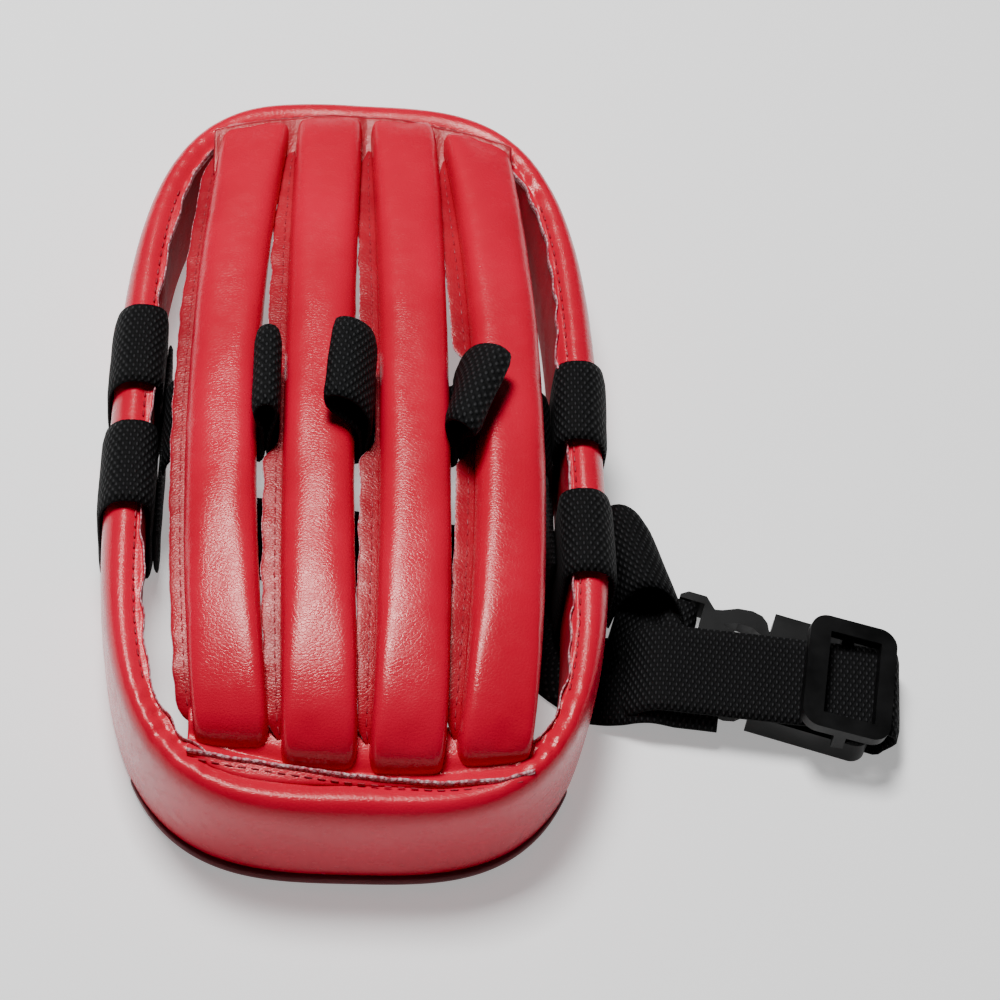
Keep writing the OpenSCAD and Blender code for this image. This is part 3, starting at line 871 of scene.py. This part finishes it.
# A loop's way round the headband: distance in from the outside, and height.
LOOP_ROUTE = [(-1.4, 4), (-1.4, 12), (-1.5, 22), (-1.3, 30), (0.2, 34.9), (3.0, 37.6), (6.2, 38.0),
              (9.3, 37.4), (11.6, 35.0), (11.9, 30), (11.6, 18), (11.5, 7), (11.0, 2.2), (9.4, 0.95),
              (4, 0.9), (0.6, 0.95), (-0.9, 1.7)]


def build_loop(name, side, front_edge):
    middle = front_edge + WEB / 2
    low = 1.8 if name == "loop_right_front" else 0.0    # this one runs over the chin strap
    base = outline_x(outer, middle)
    route = [Vector((side * (base - w), middle, z + low * (z < 2.5))) for w, z in LOOP_ROUTE]
    closed = even_steps(smooth_path(route + [route[0]], 0.5), 1.6)[:-1]

    def follow(p, v):
        dx = outline_x(outer, middle + v * WEB / 2) - base
        sag = 0.5 * noise.noise(Vector((p.z / 12, v * 2, len(name) * 1.7 + front_edge)))
        return Vector((p.x + side * (dx + 0.25 * abs(sag)), p.y + 0.6 * sag, p.z + 0.2 * abs(sag)))

    piece = ribbon(f"webbing_{name}", closed, (0, -side, 0), WEB - 0.4, 1.5, 0.12, closed=True, shape=follow)
    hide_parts(name)


def build_side_strap(name, side, front, back):
    steps = 40
    line = []
    for k in range(steps + 1):
        y = front + (back - front) * k / steps
        line.append(Vector((side * (outline_x(inner, y) - 3.2), y, 12.2)))
    piece = ribbon(f"webbing_{name}", line, (0, 0, 1), 20, 1.4, 0.35)
    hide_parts(name)


CROSS_Y = 2.0                   # middle of the cross strap
# The webbing that is pulled up between the strips, from the left: (x, height).
HUMPS = [
    # upright and narrow
    [(-25.3, 41), (-25.4, 46), (-25.8, 50.5), (-27.4, 53.6), (-27.9, 56), (-26.6, 58), (-24.6, 58.6),
     (-22.7, 57.6), (-22.0, 55), (-22.8, 52), (-23.7, 49), (-23.8, 42)],
    # flopped over to the left
    [(-0.2, 41), (-0.2, 48), (-0.8, 51.6), (-2.8, 53.8), (-5.8, 55.6), (-8.4, 57.6), (-8.6, 60.2),
     (-6.2, 61.8), (-2.8, 61.2), (0.4, 58.4), (2.2, 55.2), (2.2, 51.5), (1.5, 47), (1.4, 41)],
    # flopped over to the right and turned
    [(24.7, 41), (24.6, 47), (24.0, 51.5), (25.0, 55.4), (27.6, 58.4), (30.4, 59.8), (32.6, 58.8),
     (32.8, 56.6), (30.6, 54.2), (28.2, 52.0), (26.8, 49.4), (26.3, 45), (26.2, 41)],
]


def build_cross_strap():
    route = [(-51, 25), (-50.4, 29), (-48, 33.5), (-43, 36.6), (-34, 37.2), (-28, 37.8)]
    route += HUMPS[0] + [(-20, 39.6), (-10, 40), (-4, 40)] + HUMPS[1] + [(6, 40), (14, 40), (21, 39.6)]
    route += HUMPS[2] + [(30, 37.6), (40, 37), (46, 35.4), (50.3, 31), (51.4, 25)]
    line = smooth_path([Vector((x, CROSS_Y, z)) for x, z in route], 1.3)

    def lean(p, v):
        """Moves the humps forward, and turns the two that have flopped over."""
        height = max(0.0, min(1.0, (p.z - 47) / 12))        # 0 at a hump's foot, 1 at its top
        forward = -4.5 * (1 - height) if p.z > 38.5 and abs(p.x) < 38 else 0.0
        turn, twist = 0.0, 0.0
        if -14 < p.x < 5:
            turn, twist = 1.2, -0.6
        if p.x > 22 and p.z > 42:
            turn, twist = 5.5, -3.0
        near = 0.0
        if height > 0 and p.x > -16:
            near = 0.75 * (p.x - 25.5) if p.x > 15 else 0.2 * (p.x - 0.5)
        tip = 0.9 * height * v * (0.4 if p.x < 22 else 1)
        pull = forward - near * height + twist * height * 0.4
        return Vector((p.x + turn * height * v, p.y + pull, p.z - tip))

    piece = ribbon("webbing_cross_strap", line, (0, 1, 0), WEB, 1.5, 0.3, shape=lean)
    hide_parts("cross_strap")


# Where the chin strap leaves the right wall and where the buckle starts, and which way each points.
STRAP_EXIT, STRAP_TURN = Vector((66, -55, 0)), math.radians(-6)
BUCKLE_AT, BUCKLE_TURN = Vector((83.8, -45.5, 0)), math.radians(-17)


def placed(origin, turn, u, v, z):
    """Point at u along and v across from an origin, in a direction turned about the upright."""
    c, s = math.cos(turn), math.sin(turn)
    return Vector((origin.x + u * c - v * s, origin.y + u * s + v * c, z))


def on_strap(u, v, z):
    return placed(STRAP_EXIT, STRAP_TURN, u, v, z)


def on_buckle(u, v, z):
    return placed(BUCKLE_AT, BUCKLE_TURN, u, v, z)


def width_direction(turn):
    return Vector((-math.sin(turn), math.cos(turn), 0))


def strap_height(u):
    """Height of the chin strap's straight stretch at u."""
    return 11 + (u - 14) * math.tan(math.radians(1))


# The chin strap's way: inside the headband, up from the wall, round the fold and back to the socket's bar.
STRAP_INSIDE = [(34, -16, 2.7), (40, -25, 2.6), (49, -38, 1.3), (56.5, -48.5, 0.95)]
STRAP_RISE = [(-3, 0.9), (2, 1.2), (5.5, 3.4), (9, 7.2), (13, 10.2), (18, 11.1)]
STRAP_STRAIGHT = [30, 45, 60, 70, 74.5]
STRAP_FOLD = [(77.6, 10.4), (78.0, 7.0), (77.4, 3.6)]
SOCKET_RUN = [(61.0, 1.3), (57, 1.05), (53, 1.1), (50.6, 2.2), (50, 5), (50, 8.2)]
# A second layer of webbing under the first, seen along its front edge.
UNDER_RUN = [(-3, 2.6), (2, 2.8), (6, 4.2), (10, 7.2), (15, 9.2), (24, 9.3), (31, 9.35)]


def build_chin_strap():
    inner_part = smooth_path([(-46, -11.5, 1.0), (-20, -14.8, 0.95), (10, -18.5, 0.95), (44, -22.7, 0.95)])
    lower = ribbon("webbing_chin_strap_inner", inner_part, (0.124, 0.992, 0), WEB, 1.5, 0.15)

    route = [Vector(p) for p in STRAP_INSIDE]
    route += [on_strap(u, 0, z) for u, z in STRAP_RISE]
    route += [on_strap(u, 0, strap_height(u)) for u in STRAP_STRAIGHT]
    route += [on_strap(u, 0, z) for u, z in STRAP_FOLD]
    route += [on_buckle(u, 0, z) for u, z in SOCKET_RUN]
    line = smooth_path(route, 1.6)
    start, end = width_direction(STRAP_TURN), width_direction(BUCKLE_TURN)
    across = []
    for p, t in zip(line, tangents(line)):
        if p.x < 62:
            side = Vector((-t.y, t.x, 0)).normalized()
            share = max(0.0, min(1.0, (p.x - 56) / 8))
            side = side.lerp(start, share).normalized()
        elif p.z > 8 or p.x < 120:
            side = start
        else:
            side = start.lerp(end, max(0.0, min(1.0, (8 - p.z) / 6))).normalized()
        across.append(side)
    strap = ribbon("webbing_chin_strap", line, across, WEB, 1.5, 0.22, body=None)
    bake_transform(strap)
    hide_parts("chin_strap_root", "chin_strap_end")

    def droop(p, v):
        """Lets the front edge hang down, further out."""
        fall = max(0.0, -v - 0.2) ** 1.4 * 4.2 * min(1.0, max(0.0, (p.x - 70) / 14))
        return Vector((p.x, p.y, p.z - fall))

    line = smooth_path([on_strap(u, -2.5, z) for u, z in UNDER_RUN], 1.6)
    under = ribbon("webbing_chin_strap_lining", line, start, WEB - 1, 1.4, 0.2, shape=droop)


# The short strap that holds the plug, round the plug's bar, and the fold of webbing between it and the wall.
PLUG_RUN = [(-15, 5.5), (-10, 3.0), (-6, 2.3), (-3.4, 4.0), (-1.7, 6.6), (0.2, 7.3), (3.0, 7.2), (4.9, 5.9),
            (5.5, 3.4), (5.5, 1.0)]
FOLD = [(67.2, -27, 2.2), (68.2, -24, 8), (71, -21.8, 13), (75.8, -21.8, 15.6), (80.3, -24, 14.6),
        (83.6, -27.5, 10.8), (84.6, -31, 6.4), (82.6, -35, 3.8), (77, -37, 2.4)]


def build_buckle_strap():
    line = smooth_path([on_buckle(u, 0, z) for u, z in PLUG_RUN], 1.3)
    lower = ribbon("webbing_buckle_strap", line, width_direction(BUCKLE_TURN), WEB, 1.4, 0.15)
    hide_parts("buckle_strap")

    line = smooth_path(FOLD, 1.6)
    across = []
    for k in range(len(line)):
        swing = math.sin(math.pi * k / (len(line) - 1))
        across.append(Vector((-0.12 - 0.22 * swing, 1.0, 0.10 * swing)).normalized())
    fold = ribbon("webbing_buckle_fold", line, across, WEB, 1.4, 0.2)


# ---- moulded plastic ---------------------------------------------------


# The rounding of each moulded piece's edges.
PLASTIC_EDGES = {"buckle_plug": 0.5, "latch_arm_rear": 0.5, "latch_arm_front": 0.5,
                 "buckle_socket": 0.9, "tri_glide": 0.8}


def finish_plastic(name, radius):
    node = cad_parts[name]
    for holder in node.material_slots:
        holder.material = PLASTIC
    add_modifier(node, "BEVEL", width=radius * MM, segments=3, limit_method="ANGLE",
                 angle_limit=math.radians(38), harden_normals=True)


# ---- camera, light and floor -------------------------------------------


def build_floor():
    n = Nodes("pale_floor")
    tone = n.noise(n.coordinates("Object"), 3, 2)
    colour = n.ramp(tone, (0.3, (0.86, 0.86, 0.86)), (0.7, (0.89, 0.89, 0.89)))
    material = n.set(Base_Color=colour, Roughness=0.7, Emission_Color=(1.0, 1.0, 1.0, 1.0),
                     Emission_Strength=0.4)
    bpy.ops.mesh.primitive_plane_add(size=8)
    floor = bpy.context.object
    floor.name = "floor"
    floor.data.materials.append(material)


def add_lamp(name, at, towards, size, power):
    data = bpy.data.lights.new(name, "AREA")
    data.shape, data.size, data.size_y, data.energy = "RECTANGLE", size[0], size[1], power
    lamp = bpy.data.objects.new(name, data)
    lamp.location = at
    lamp.rotation_mode = "QUATERNION"
    lamp.rotation_quaternion = (Vector(towards) - Vector(at)).to_track_quat("-Z", "Y")
    bpy.context.scene.collection.objects.link(lamp)


def build_light():
    world = bpy.context.scene.world or bpy.data.worlds.new("world")
    bpy.context.scene.world = world
    world.use_nodes = True
    background = world.node_tree.nodes["Background"]
    background.inputs["Color"].default_value = (1.0, 1.0, 1.0, 1)
    background.inputs["Strength"].default_value = 0.03
    add_lamp("key", (-0.16, 0.31, 0.98), (0.0, -0.03, 0.04), (0.30, 0.34), 16)
    add_lamp("back_panel", (-0.1, 1.3, 0.95), (0.0, 0.0, 0.03), (1.2, 0.5), 0.35)
    add_lamp("front_fill", (0.2, -1.2, 0.5), (0.0, 0.0, 0.03), (0.8, 0.5), 0.3)


def build_camera():
    """Camera in front of the head guard, looking down on it with a slight roll. Places in metres."""
    camera_data = bpy.data.cameras.new("camera")
    camera_data.lens, camera_data.sensor_width = 99.6, 36
    camera_data.clip_start, camera_data.clip_end = 0.05, 20
    camera = bpy.data.objects.new("camera", camera_data)
    yaw, pitch, roll = math.radians(9.5), math.radians(55.5), math.radians(9.9)
    forward = Vector((math.sin(yaw) * math.cos(pitch), math.cos(yaw) * math.cos(pitch), -math.sin(pitch)))
    level = forward.cross(UP).normalized()
    raised = level.cross(forward)
    right = level * math.cos(roll) + raised * math.sin(roll)
    up = raised * math.cos(roll) - level * math.sin(roll)
    turn = Matrix((right, up, -forward)).transposed().to_4x4()
    camera.matrix_world = Matrix.Translation((-0.0307, -0.4252, 0.6301)) @ turn
    bpy.context.scene.collection.objects.link(camera)
    bpy.context.scene.camera = camera


# ---- everything --------------------------------------------------------

build_floor()
build_light()
build_camera()
build_headband()
build_raw_edge()
build_forehead_pad()
strip_seams = []
for number in range(4):
    build_strip(number)
    strip_seams.append(build_sewn_edge(number))
end_seams = [build_end_panel(-1), build_end_panel(1)]
stitches("headband_stitches", end_seams + side_seams(), 0.24)
stitches("strip_stitches", strip_seams, 0.19)
for loop_name, place in LOOPS.items():
    build_loop(loop_name, *place)
build_side_strap("side_strap_left", LEFT, -27, 34)
build_side_strap("side_strap_right", RIGHT, -33, 21)
build_cross_strap()
build_chin_strap()
build_buckle_strap()
for plastic_name, edge_radius in PLASTIC_EDGES.items():
    finish_plastic(plastic_name, edge_radius)
